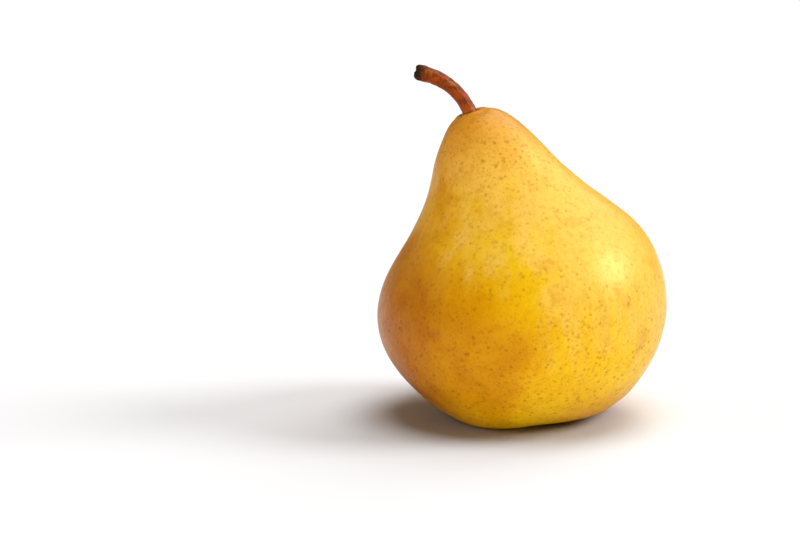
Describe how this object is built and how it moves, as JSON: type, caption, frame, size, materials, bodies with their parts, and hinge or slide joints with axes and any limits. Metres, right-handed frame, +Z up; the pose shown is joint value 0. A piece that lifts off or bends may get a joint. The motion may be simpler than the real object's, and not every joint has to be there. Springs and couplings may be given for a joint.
{
  "type": "pear",
  "caption": "Whole ripe yellow pear with its curved woody stalk and dried calyx, standing free on the lobes of its blossom end.",
  "frame": {"origin": "centre of the part's footprint, at the level of the flat spots that it rests on", "axes": "+Z up through the neck; the neck and the stalk lean towards -X; +Y is away from the side that is seen first"},
  "size_m": [0.0801, 0.0806, 0.097],
  "materials": {
    "skin": "smooth waxy satin fruit skin, golden yellow with fine brown lenticels",
    "stem_bark": "red-brown woody stalk, finely ridged, dark broken end",
    "dried_sepal": "dry matt brown sepal",
    "dried_stamens": "dry matt dark brown threads"
  },
  "bodies": {
    "root": {"fruit": "skin", "stem": "stem_bark", "sepal_1": "dried_sepal", "sepal_2": "dried_sepal", "sepal_3": "dried_sepal", "sepal_4": "dried_sepal", "sepal_5": "dried_sepal", "stamens": "dried_stamens"}
  },
  "joints": []
}
